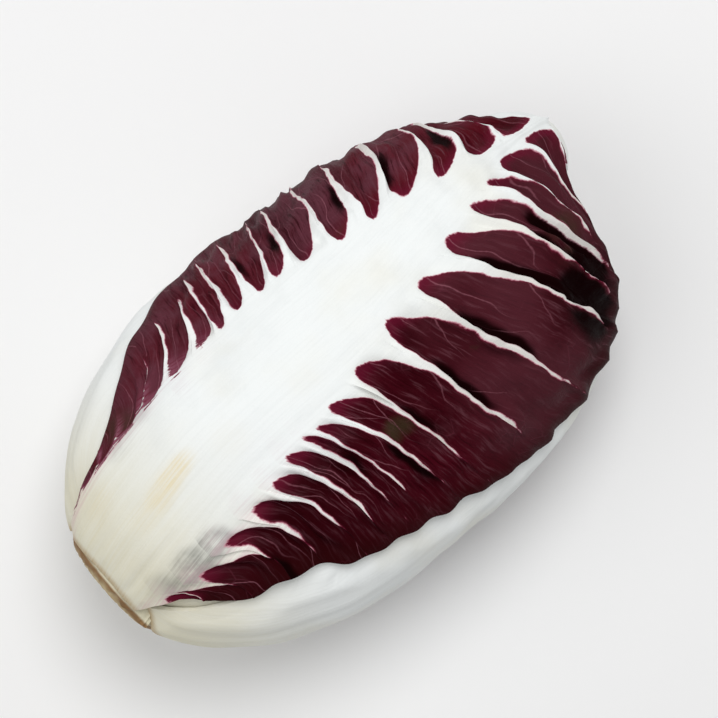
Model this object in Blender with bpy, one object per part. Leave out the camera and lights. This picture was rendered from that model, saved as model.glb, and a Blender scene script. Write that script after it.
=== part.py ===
"""A head of Treviso radicchio, lying on its side on a flat surface.

Metres, +Z up. +X runs from the cut stem to the leaf tips, and the surface that the head lies on is z = 0.
The leaves wrap round one centre, so every point of every leaf is a direction from that centre and a radius.
A direction is given by its polar angle from the stem's pole (-X) and its azimuth round the head, which is
0 straight up and grows towards -Y. Angles are in degrees.
"""

import math

import bmesh
import bpy
import numpy as np
from mathutils import Vector
from mathutils.bvhtree import BVHTree

# The head's outer skin: an egg with a flat spot below and a nose where the top leaf's tip is
HALF_WIDTH = 0.0535
HALF_HEIGHT = 0.046
STEM_REACH = 0.082
TIP_REACH = 0.0905
STEM_POWER = 2.1
TIP_POWER = 2.8
NOSE = 0.0105
NOSE_LEAN = 10
NOSE_AZIMUTH = -80
NOSE_SPREAD = 0.0125
FLAT_DEPTH = 0.002
CENTRE_HEIGHT = HALF_HEIGHT - FLAT_DEPTH
CENTRE = Vector((0, 0, CENTRE_HEIGHT))
FLAT_SPOT_CALM = 0.0045

# The stem: a cone whose point would be the head's centre
STEM_ANGLE = 13.2
STEM_FACE = 0.0803
STEM_RIM = 0.0779
STEM_SIDES = 28
STEM_DOME = ((0.95, 0.4), (0.8, 0.8), (0.6, 1.0))
LEAF_START = STEM_ANGLE + 0.7

# Leaf outlines are half widths, in degrees of azimuth, at these polar angles; rib half widths in metres
OUTLINE_ANGLES = (14, 24, 36, 50, 70, 95, 120, 145, 172)
COMMON_OUTLINE = (50, 46, 46, 52, 62, 68, 70, 68, 62)
COMMON_RIB = (0.0165, 0.021, 0.0245, 0.0235, 0.022, 0.0185, 0.0145, 0.009, 0.002)
RIB_COLUMNS = 0.36
END_ROUND = 15
VEIN_SWEEP = 3.3

BLADE = 0.0009
RIB_AT_STEM = 0.0046
RIB_AT_TIP = 0.0006
VEIN_RIDGE = 0.0008
HIDDEN_RELIEF = 0.2

# Where a leaf slips out from under another, it stays tucked for TUCK and then rises over RISE
TUCK = 0.0025
RISE = 0.009

# Inner pieces are lowered until they clear the outer ones by this
CLEARANCE = 0.00035
SETTLE_STEP = 0.0003
SETTLE_ROUNDS = 80

HEART_RINGS = 18
HEART_SIDES = 24
HEART_GAP = 0.0012
HEART_FOLDS = 7
HEART_FOLD_DEPTH = 0.0012


def top_leaf():
    """The big outer leaf on top. Each vein is two threes, for its left and its right half.

    They are the polar angle where it leaves the rib, the degrees it climbs towards the edge, and its strength.
    """
    return {
        "name": "outer_leaf_top",
        "azimuth": -18,
        "twist_at_stem": 4,
        "left": (46, 40, 36, 44, 60, 76, 82, 86, 86),
        "right": (43, 43, 57, 59.5, 71, 77, 89, 108, 112),
        "rib_left": (0.0165, 0.0195, 0.0195, 0.019, 0.0195, 0.0215, 0.0165, 0.0095, 0.0012),
        "rib_right": (0.0165, 0.020, 0.0225, 0.0215, 0.019, 0.0158, 0.010, 0.007, 0.0012),
        "end": 178,
        "lean": 10,
        "lean_to": -80,
        "veins": (
            ((22, 4, 0.2), (22, 8, 0.5)),
            ((30, 5, 0.2), (29, 11, 0.6)),
            ((39, 6, 0.25), (38, 13, 0.6)),
            ((49, 12, 0.3), (49, 10, 0.7)),
            ((59.5, 9, 0.8), (58.5, 12, 0.7)),
            ((70, 8, 0.8), (67.7, 11, 0.8)),
            ((80, 3, 0.6), (76.5, 10, 0.8)),
            ((87, 2, 1.0), (81.5, 11, 0.5)),
            ((96.3, 1, 1.2), (87.5, 15, 1.2)),
            ((103.3, 5, 0.7), (101, 10, 1.3)),
            ((112.5, 2, 1.4), (117, 7.5, 2.0)),
            ((123.7, 3, 1.8), (130.3, 7.5, 2.1)),
            ((133.5, 4, 2.0), (140.5, 10, 2.2)),
            ((141.5, 8, 1.6), (150, 7, 1.6)),
            ((151.5, 8, 0.8), (155.8, 7, 1.8)),
            ((159.5, 6, 2.0), (161.5, 6, 0.8)),
            ((167.5, 4, 0.7), (169, 5, 0.8)),
        ),
        "gap": 0.0008,
        "wave": 0.0006,
        "bulge": 0.0012,
        "flare": 0.0012,
        "columns": 20,
        "steps": (0, 0.3, 0.66),
        "scallop": ((0.010, 13), (0.012, 31)),
        "seed": 3,
    }


def plain_leaf(name, azimuth, seed, veins=11, spread=(1, 1), rib=1.0, **other):
    """Any other leaf. Its veins leave the rib at even steps, a little shaken.

    spread widens its left and right half, and rib its rib.
    """
    shake = np.random.default_rng(seed)
    stations = np.linspace(28, 166, veins)
    step = stations[1] - stations[0]

    def half():
        climb = (10 + shake.uniform(-2, 2, veins)) * (1 - smoothstep(90, 170, stations))
        return zip(stations + shake.uniform(-0.2, 0.2, veins) * step, climb, shake.uniform(0.5, 1.5, veins))

    outline = np.array(COMMON_OUTLINE)
    leaf = {
        "name": name,
        "azimuth": azimuth,
        "twist_at_stem": shake.uniform(-6, 6),
        "left": spread[0] * outline * shake.uniform(0.95, 1.05, len(outline)),
        "right": spread[1] * outline * shake.uniform(0.95, 1.05, len(outline)),
        "rib_left": rib * np.array(COMMON_RIB),
        "rib_right": rib * np.array(COMMON_RIB),
        "end": 172,
        "lean": 8,
        "lean_to": azimuth + 180,
        "veins": tuple(zip(half(), half())),
        "gap": 0.0008,
        "wave": 0.0006,
        "bulge": 0.001,
        "flare": 0.001,
        "columns": 14,
        "steps": (0, 0.5),
        "scallop": ((0.02, 7), (0.015, 13)),
        "seed": seed,
    }
    leaf.update(other)
    return leaf


def all_leaves():
    """Every leaf, the outermost first. Each lies inside those before it wherever they cover it."""
    middle = {"gap": 0.0014, "columns": 12, "veins": 9}
    inner = {"gap": 0.003, "columns": 8, "veins": 7, "steps": (0,), "rib": 0.8}
    return [
        top_leaf(),
        plain_leaf("outer_leaf_right", 90, 11, veins=12, spread=(1, 0.84), rib=1.2, end=170),
        plain_leaf("outer_leaf_left", -92, 12, veins=12, spread=(0.84, 1), rib=1.2, end=170),
        plain_leaf("outer_leaf_bottom", 180, 13, veins=11, rib=1.1, end=171, wave=0),
        plain_leaf("middle_leaf_right", 46, 21, end=174, lean=12, **middle),
        plain_leaf("middle_leaf_left", -58, 22, end=175, lean=14, **middle),
        plain_leaf("middle_leaf_low_right", 136, 23, end=173, lean=12, **middle),
        plain_leaf("middle_leaf_low_left", -140, 24, end=174, lean=13, **middle),
        plain_leaf("inner_leaf_top", 6, 31, end=174, lean=22, **inner),
        plain_leaf("inner_leaf_bottom", -172, 32, end=174, lean=20, **inner),
        plain_leaf("inner_leaf_right", 94, 33, end=172, lean=18, **inner),
        plain_leaf("inner_leaf_left", -84, 34, end=172, lean=18, **inner),
    ]


def smoothstep(low, high, value):
    t = np.clip((value - low) / (high - low), 0, 1)
    return t * t * (3 - 2 * t)


def curve_through(xs, ys, x):
    """A smooth curve through the points (xs, ys), read at x. Outside them it keeps the end values."""
    xs = np.asarray(xs, float)
    ys = np.asarray(ys, float)
    slopes = np.gradient(ys, xs)
    slopes[[0, -1]] = 0
    x = np.clip(x, xs[0], xs[-1])
    i = np.clip(np.searchsorted(xs, x, side="right") - 1, 0, len(xs) - 2)
    span = xs[i + 1] - xs[i]
    t = (x - xs[i]) / span
    rise = ys[i + 1] - ys[i]
    a = slopes[i] * span - rise
    b = rise - slopes[i + 1] * span
    return (1 - t) * ys[i] + t * ys[i + 1] + t * (1 - t) * ((1 - t) * a + t * b)


def skin_radius(way):
    """How far the head's outer skin is from its centre along the unit directions way."""
    reach = np.where(way[:, 0] > 0, TIP_REACH, STEM_REACH)
    power = np.where(way[:, 0] > 0, TIP_POWER, STEM_POWER)
    across = np.hypot(way[:, 1] / HALF_WIDTH, way[:, 2] / HALF_HEIGHT)
    egg = (np.abs(way[:, 0] / reach) ** power + across**power) ** (-1 / power)
    turn = math.radians(NOSE_LEAN)
    to_side = direction(90, NOSE_AZIMUTH) * math.sin(turn)
    off_nose = 1 - way @ (to_side + np.array([math.cos(turn), 0, 0]))
    nose = NOSE * np.exp(-off_nose / NOSE_SPREAD)
    return np.minimum(egg + nose, CENTRE_HEIGHT / np.maximum(-way[:, 2], 1e-6))


def above_flat_spot(way):
    """0 on and beside the flat spot that the head lies on, 1 away from it."""
    radius = skin_radius(way)
    return smoothstep(0.0005, FLAT_SPOT_CALM, CENTRE_HEIGHT + radius * way[:, 2])


def direction(polar, azimuth):
    polar = np.radians(polar)
    azimuth = np.radians(azimuth)
    return np.stack(
        [-np.cos(polar), -np.sin(polar) * np.sin(azimuth), np.sin(polar) * np.cos(azimuth)], axis=-1
    )


def angles_of(way):
    polar = np.degrees(np.arctan2(np.hypot(way[:, 1], way[:, 2]), -way[:, 0]))
    return polar, np.degrees(np.arctan2(-way[:, 1], way[:, 2]))


def lean(leaf, way, polar, sign):
    """Turns directions so that the leaf's far end leans over the head's tip, or with sign -1 back again."""
    amount = sign * np.radians(leaf["lean"] * smoothstep(95, 180, polar))
    towards = math.radians(leaf["lean_to"])
    side = np.array([0, -math.sin(towards), math.cos(towards)])
    along = way @ side
    x = way[:, 0] * np.cos(amount) - along * np.sin(amount)
    turned = way[:, 0] * np.sin(amount) + along * np.cos(amount)
    out = way + (turned - along)[:, None] * side
    out[:, 0] = x
    return out


def middle_line(leaf, polar):
    """The azimuth of the leaf's rib."""
    return leaf["azimuth"] + leaf["twist_at_stem"] * (1 - smoothstep(14, 60, polar))


def half_width(leaf, polar, side):
    """Degrees of azimuth from the rib to the leaf's edge, on its left (side < 0) or right."""
    left = curve_through(OUTLINE_ANGLES, leaf["left"], polar)
    right = curve_through(OUTLINE_ANGLES, leaf["right"], polar)
    turn = np.radians(polar)
    uneven = np.zeros(np.shape(polar))
    for size, frequency in leaf["scallop"]:
        phase = leaf["seed"] * 1.7 + frequency + np.where(side < 0, 2.0, 0.0)
        uneven = uneven + size * np.sin(turn * frequency + phase)
    return np.where(side < 0, left, right) * (1 + smoothstep(18, 45, polar) * uneven)


def leaf_end(leaf, across):
    """The polar angle where the leaf ends. across is 0 on the rib and -1 or 1 at the side edges."""
    return leaf["end"] - END_ROUND * np.abs(across) ** 2


def leaf_place(leaf, way):
    """(polar, across, azimuth from the rib) of directions in the leaf's own upright frame."""
    polar, _ = angles_of(way)
    for _ in range(3):
        upright = lean(leaf, way, polar, -1)
        polar, azimuth = angles_of(upright)
    off = (azimuth - middle_line(leaf, polar) + 180) % 360 - 180
    return polar, off / half_width(leaf, polar, off), off


def rib_half(leaf, polar, side):
    """Half the rib's width, in metres, on its left (side < 0) or right."""
    left = curve_through(OUTLINE_ANGLES, leaf["rib_left"], polar)
    return np.where(side < 0, left, curve_through(OUTLINE_ANGLES, leaf["rib_right"], polar))


def rib_share(leaf, polar, side):
    """The rib's part of the leaf's half width."""
    middle = direction(polar, np.full(np.shape(polar), leaf["azimuth"]))
    around = np.sin(np.radians(polar)) * skin_radius(middle)
    return np.minimum(rib_half(leaf, polar, side) / (np.radians(half_width(leaf, polar, side)) * around), 0.85)


def thickness(leaf, way, polar, off):
    """The leaf's thickness: a thin blade and a thick rib, which thins towards the tip and at the edges."""
    u = np.clip((polar - LEAF_START) / (leaf["end"] - LEAF_START), 0, 1)
    arc = np.abs(np.radians(off)) * np.sin(np.radians(polar)) * skin_radius(way)
    swell = RIB_AT_STEM * (1 - u**0.8) + RIB_AT_TIP * u**0.8
    return BLADE + swell * (1 - smoothstep(0.25, 1.1, arc / rib_half(leaf, polar, off)))


def wave(leaf, polar, off):
    """A slow in-and-out of the whole leaf, always inwards."""
    phase = leaf["seed"] * 2.3
    swing = np.sin(np.radians(polar) * 5 + phase) * np.sin(np.radians(off) * 4 + 1.3 * phase)
    return -leaf["wave"] * smoothstep(25, 60, polar) * (1 + swing) / 2


def cover(leaf, way):
    """(1 under the leaf and 0 away from it, the depth that the leaf takes up there)."""
    polar, across, off = leaf_place(leaf, way)
    radius = skin_radius(way)
    beside = (np.abs(off) - half_width(leaf, polar, off)) * np.sin(np.radians(polar))
    beyond = polar - leaf_end(leaf, np.clip(across, -1, 1))
    out = np.radians(np.maximum(beside, beyond)) * radius
    share = 1 - smoothstep(TUCK, TUCK + RISE, out)
    kept = np.clip(off, -half_width(leaf, polar, -1), half_width(leaf, polar, 1))
    depth = thickness(leaf, way, polar, kept) + leaf["gap"] - wave(leaf, polar, kept)
    return share, share * depth


def depth_under(outer_leaves, way):
    """(depth below the skin that the outer leaves take up, how free of them each direction is)."""
    depth = np.zeros(len(way))
    free = np.ones(len(way))
    for leaf in outer_leaves:
        share, taken = cover(leaf, way)
        depth += taken
        free *= 1 - share
    return depth, free


def vein_table(leaf, side, item):
    """One item of every vein on one side, with the leaf's two ends before and after them."""
    before = (LEAF_START, 0, 0)[item]
    after = (leaf["end"], 0, 0)[item]
    return np.array([before, *(vein[side][item] for vein in leaf["veins"]), after], float)


def place_on_leaf(leaf, row, column):
    """(polar, across, azimuth from the rib) at row, which is whole on a vein, and column, from -1 to 1."""
    count = np.arange(len(leaf["veins"]) + 2)
    start = [np.interp(row, count, vein_table(leaf, side, 0)) for side in (0, 1)]
    climb = [np.interp(row, count, vein_table(leaf, side, 1)) for side in (0, 1)]
    beside = np.where(column < 0, *start)
    middle = (start[0] + start[1]) / 2
    share = rib_share(leaf, beside, column)
    reach = np.abs(column)
    outside = share + (reach - RIB_COLUMNS) / (1 - RIB_COLUMNS) * (1 - share)
    reach = np.where(reach < RIB_COLUMNS, reach / RIB_COLUMNS * share, outside)
    polar = middle + (beside - middle) * smoothstep(0, 1, reach / share)
    beyond = np.clip((reach - share) / (1 - share), 0, 1)
    polar = polar + np.where(column < 0, *climb) * (1 - (1 - beyond) ** VEIN_SWEEP)
    ends = len(leaf["veins"]) + 1
    polar = polar - END_ROUND * reach**2 * smoothstep(0.55 * ends, ends, row)
    across = np.sign(column) * reach
    return polar, across, across * half_width(leaf, polar, across)


def relief(leaf, row, across, free):
    """How far the blade stands out: veins as ridges, and the blade between them hollowed."""
    fraction = row - np.floor(row)
    count = np.arange(len(leaf["veins"]) + 2)
    strength = np.where(
        across < 0, *(np.interp(np.round(row), count, vein_table(leaf, side, 2)) for side in (0, 1))
    )
    polar = np.interp(row, count, vein_table(leaf, 1, 0))
    beyond_rib = np.abs(across) - rib_share(leaf, polar, across)
    blade = smoothstep(-0.03, 0.1, beyond_rib) * smoothstep(0.3, 1, row)
    ridge = VEIN_RIDGE * strength * (1 - smoothstep(0, 0.3, np.minimum(fraction, 1 - fraction)))
    ridge = ridge * (1 - smoothstep(0.72, 0.95, np.abs(across)))
    shake = np.random.default_rng(leaf["seed"]).uniform(0.4, 1.0, len(count) + 1)
    hollow = leaf["bulge"] * shake[np.floor(row).astype(int)] * np.sin(np.pi * fraction)
    ruffle = leaf["flare"] * smoothstep(0.75, 1, np.abs(across)) * (1 + np.sin(row * 2.9 + leaf["seed"])) / 2
    lively = HIDDEN_RELIEF + (1 - HIDDEN_RELIEF) * free
    return lively * (blade * (ridge - hollow) + smoothstep(0.5, 2, row) * ruffle)


def leaf_points(leaf, outer_leaves, rows, columns, faces, covers):
    """The points of the leaf's outer face and of its inner face, clear of the shells in covers."""
    row, column = (grid.ravel() for grid in np.meshgrid(rows, columns, indexing="ij"))
    polar, across, off = place_on_leaf(leaf, row, column)
    way = lean(leaf, direction(polar, middle_line(leaf, polar) + off), polar, 1)
    depth, free = depth_under(outer_leaves, way)
    lively = above_flat_spot(way)
    radius = skin_radius(way) - depth + lively * (wave(leaf, polar, off) + relief(leaf, row, across, free))
    radius = settle(way, radius, faces, covers)
    thick = thickness(leaf, way, polar, off)
    return way * radius[:, None] + CENTRE, way * (radius - thick)[:, None] + CENTRE


def settle(way, radius, faces, covers):
    """Lowers a sheet's points until the whole sheet clears the shells that lie over it."""
    radius = radius.copy()
    for index, spot in enumerate(way):
        for cover_tree in covers:
            reach = cover_tree.ray_cast(CENTRE, Vector(spot), 0.2)[3]
            if reach is not None:
                radius[index] = min(radius[index], reach - CLEARANCE)
    for _ in range(SETTLE_ROUNDS):
        raised = way * (radius + CLEARANCE)[:, None] + CENTRE
        sheet = BVHTree.FromPolygons(raised.tolist(), faces)
        crossing = {mine for cover_tree in covers for mine, _ in sheet.overlap(cover_tree)}
        if not crossing:
            break
        points = list({point for face in crossing for point in faces[face]})
        radius[points] -= SETTLE_STEP
    return radius


def leaf_rows(leaf):
    """The rows of the leaf's grid: the same steps from each vein to the next."""
    panels = len(leaf["veins"]) + 1
    return np.array([panel + step for panel in range(panels) for step in leaf["steps"]] + [panels], float)


def flat_sheet(rows, columns):
    """A triangulated grid with a point at every (row, column), and its faces as numbers of points."""
    sheet = bmesh.new()
    bmesh.ops.create_grid(sheet, x_segments=columns - 1, y_segments=rows - 1, size=1)
    bmesh.ops.triangulate(sheet, faces=sheet.faces[:], quad_method="ALTERNATE")
    for vertex in sheet.verts:
        x, y, _ = vertex.co
        vertex.co = (round((y + 1) / 2 * (rows - 1)), round((x + 1) / 2 * (columns - 1)), 0)
    faces = [[round(v.co.x) * columns + round(v.co.y) for v in face.verts] for face in sheet.faces]
    return sheet, faces


def shell_mesh(sheet, columns, outer, inner):
    """Makes the sheet a closed shell whose two faces pass through the points outer and inner."""
    far_side = bmesh.ops.extrude_face_region(sheet, geom=sheet.faces[:], use_keep_orig=True)
    for item in far_side["geom"]:
        if isinstance(item, bmesh.types.BMVert):
            item.co.z = 1
    for vertex in sheet.verts:
        i, j, far = (round(value) for value in vertex.co)
        vertex.co = (inner if far else outer)[i * columns + j]
    return solid_mesh(sheet)


def solid_mesh(shape):
    """Turns a closed bmesh into a mesh whose faces look outwards."""
    if shape.calc_volume(signed=True) < 0:
        bmesh.ops.reverse_faces(shape, faces=shape.faces[:])
    mesh = bpy.data.meshes.new("solid")
    shape.to_mesh(mesh)
    shape.free()
    return mesh


def make_leaf(leaf, outer_leaves, covers):
    rows = leaf_rows(leaf)
    columns = np.linspace(-1, 1, leaf["columns"] + 1)
    sheet, faces = flat_sheet(len(rows), len(columns))
    outer, inner = leaf_points(leaf, outer_leaves, rows, columns, faces, covers)
    return shell_mesh(sheet, len(columns), outer, inner)


def make_heart(leaves, covers):
    """The tight bud in the middle: everything left inside the leaves, with folds running to its tip."""
    ball = bmesh.new()
    bmesh.ops.create_uvsphere(ball, u_segments=HEART_SIDES, v_segments=HEART_RINGS, radius=1)
    bmesh.ops.triangulate(ball, faces=ball.faces[:])
    way = np.array([(vertex.co.z, vertex.co.y, vertex.co.x) for vertex in ball.verts])
    polar, azimuth = angles_of(way)
    fold = np.abs(np.sin(np.radians(azimuth * HEART_FOLDS / 2 + polar * 0.8)))
    fold = HEART_FOLD_DEPTH * fold * np.sin(np.radians(polar))
    depth, _ = depth_under(leaves, way)
    faces = [[vertex.index for vertex in face.verts] for face in ball.faces]
    radius = settle(way, skin_radius(way) - depth - HEART_GAP - fold, faces, covers)
    for vertex, spot in zip(ball.verts, way * radius[:, None] + CENTRE):
        vertex.co = spot
    return solid_mesh(ball)


def make_stem(heart):
    """The core that the leaves grow from, its cut end slightly domed. It ends just short of the heart."""
    slope = math.tan(math.radians(STEM_ANGLE))
    inside = HEART_GAP - min(vertex.co.x for vertex in heart.vertices)
    cone = bmesh.new()
    bmesh.ops.create_cone(
        cone,
        cap_ends=True,
        segments=STEM_SIDES,
        radius1=STEM_RIM * slope,
        radius2=inside * slope,
        depth=STEM_RIM - inside,
    )
    for vertex in cone.verts:
        x, y, z = vertex.co
        vertex.co = (-(STEM_RIM + inside) / 2 + z, y, CENTRE_HEIGHT - x)
    cut = [face for face in cone.faces if face.calc_center_median().x < -STEM_RIM + 1e-5]
    for shrink, share in STEM_DOME:
        cut = bmesh.ops.extrude_discrete_faces(cone, faces=cut)["faces"]
        for vertex in cut[0].verts:
            up = vertex.co.z - CENTRE_HEIGHT
            reach = STEM_RIM + share * (STEM_FACE - STEM_RIM)
            vertex.co = (-reach, vertex.co.y * shrink, CENTRE_HEIGHT + up * shrink)
    return solid_mesh(cone)


def tree_of(mesh):
    """The mesh as a search tree for rays."""
    corners = [vertex.co for vertex in mesh.vertices]
    return BVHTree.FromPolygons(corners, [face.vertices for face in mesh.polygons])


def material(name, colour, roughness):
    made = bpy.data.materials.new(name)
    made.use_nodes = True
    shader = made.node_tree.nodes["Principled BSDF"]
    shader.inputs["Base Color"].default_value = (*colour, 1)
    shader.inputs["Roughness"].default_value = roughness
    shader.inputs["Metallic"].default_value = 0
    return made


def place(collection, name, mesh, finish):
    mesh.name = name
    mesh.materials.append(finish)
    mesh.shade_smooth()
    mesh.set_sharp_from_angle(angle=math.radians(50))
    part = bpy.data.objects.new(name, mesh)
    collection.objects.link(part)


def main():
    for old in list(bpy.data.objects):
        bpy.data.objects.remove(old)
    collection = bpy.data.collections.new("treviso_radicchio")
    bpy.context.scene.collection.children.link(collection)
    burgundy = material("leaf_burgundy", (0.06, 0.006, 0.012), 0.38)
    cream = material("stem_cream", (0.62, 0.50, 0.33), 0.6)
    leaves = all_leaves()
    covers = []
    for index, leaf in enumerate(leaves):
        mesh = make_leaf(leaf, leaves[:index], covers)
        place(collection, leaf["name"], mesh, burgundy)
        covers.append(tree_of(mesh))
    heart = make_heart(leaves, covers)
    place(collection, "heart", heart, burgundy)
    place(collection, "stem", make_stem(heart), cream)


main()
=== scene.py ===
"""The looks of a head of Treviso radicchio: white-ribbed burgundy leaves round a heart, on a cut stem.

The leaves repeat the rules of the solids at a finer step. Every point is a direction from the head's
centre and a radius. A direction is a polar angle from the stem's pole (-X) and an azimuth round the head,
which is 0 straight up and grows towards -Y. Angles are in degrees and lengths in metres.
"""

import math

import bmesh
import bpy
import numpy as np
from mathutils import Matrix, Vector
from mathutils.bvhtree import BVHTree


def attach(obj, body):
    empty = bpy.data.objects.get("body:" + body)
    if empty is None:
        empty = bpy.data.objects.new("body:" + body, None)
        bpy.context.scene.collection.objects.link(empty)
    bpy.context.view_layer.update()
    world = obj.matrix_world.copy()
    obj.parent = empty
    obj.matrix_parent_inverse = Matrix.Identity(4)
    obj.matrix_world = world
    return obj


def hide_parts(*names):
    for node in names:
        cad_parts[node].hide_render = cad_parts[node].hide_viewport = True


# The head's outer skin: an egg with a flat spot below and a nose where the top leaf's tip is
HALF_WIDTH = 0.0535
HALF_HEIGHT = 0.046
STEM_REACH = 0.082
TIP_REACH = 0.0905
STEM_POWER = 2.1
TIP_POWER = 2.8
NOSE = 0.0105
NOSE_LEAN = 10
NOSE_AZIMUTH = -80
NOSE_SPREAD = 0.0125
FLAT_DEPTH = 0.002
CENTRE_HEIGHT = HALF_HEIGHT - FLAT_DEPTH
CENTRE = Vector((0, 0, CENTRE_HEIGHT))
FLAT_SPOT_CALM = 0.0045
MEAN_RADIUS = 0.065

# The stem: a cone whose point would be the head's centre, with a nub on the rim of its cut face
STEM_ANGLE = 13.2
STEM_FACE = 0.0803
STEM_RIM = 0.0779
STEM_SIDES = 160
FACE_RINGS = 28
NUB_AZIMUTH = 47
NUB_SPREAD = 8
LEAF_START = STEM_ANGLE + 0.7

# Leaf outlines are half widths, in degrees of azimuth, at these polar angles; rib half widths in metres
OUTLINE_ANGLES = (14, 24, 36, 50, 70, 95, 120, 145, 172)
COMMON_OUTLINE = (50, 46, 46, 52, 62, 68, 70, 68, 62)
COMMON_RIB = (0.0165, 0.021, 0.0245, 0.0235, 0.022, 0.0185, 0.0145, 0.009, 0.002)
END_ROUND = 15
VEIN_SWEEP = 3.3

# The columns of a leaf's grid run from -1 to 1. Those within RIB_COLUMNS lie on the rib, and
# RIB_SHARE_OF_COLUMNS is how many of all the columns that is
RIB_COLUMNS = 0.36
RIB_SHARE_OF_COLUMNS = 0.24

# Thicknesses. The rib's come on top of the blade's
BLADE = 0.0009
RIB_AT_STEM = 0.0046
RIB_AT_TIP = 0.0006
RIB_THINNING = 0.8
RIB_SHOULDER = (0.25, 1.1)

# Where a leaf slips out from under another, it stays tucked for TUCK and then rises over RISE
TUCK = 0.0025
RISE = 0.009

# Inner pieces are lowered until they clear the outer ones by this, along rays that are longer than the head
CLEARANCE = 0.0007
RAY = 0.2

# Faces that meet at more than these angles make a sharp edge
SHARP_ON_LEAF = 65
SHARP_ON_STEM = 40

HEART_GAP = 0.0012
HEART_FOLDS = 7
HEART_FOLD_DEPTH = 0.0012

# Veins, panels and creases
VEIN_HALF = 0.00066
VEIN_FLARE = 0.0010
FLARE_LENGTH = 0.0075
VEIN_HEIGHT = 0.0008
VEIN_FADE = 0.0008
VEIN_WANDER = 0.0005
RIB_CAMBER = 0.0007
CREASE_WIDTH = 0.0016
CREASE_OFF_VEIN = 0.0008
BASE_FIBRES = 0.0004
SLOW_RIPPLE = 0.0003
RUFFLE_WIDTH = 0.013
MARGIN_CALM = 0.011

# A panel's rounded end at the rib: its slant, its length and its shift against its half width, and how much
# its start varies
PANEL_SLANT = 0.9
PANEL_CAP = 1.9
PANEL_SHIFT = 0.65
PANEL_JITTER = (-0.0005, 0.0015)

# A panel's ripples: their size, how much they are drawn out away from the rib, their seed and wavelength
PANEL_RIPPLES = ((0.0010, 0.3, 74, 0.0075), (0.0005, 0.18, 70, 0.0035))

# Between these distances from the rib the veins get lower
VEINS_LOWER = (0.010, 0.028)

# How much of its relief a leaf keeps under another
HIDDEN_RELIEF = 0.2

# The leaves' material works in millimetres
MM = 1000


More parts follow.
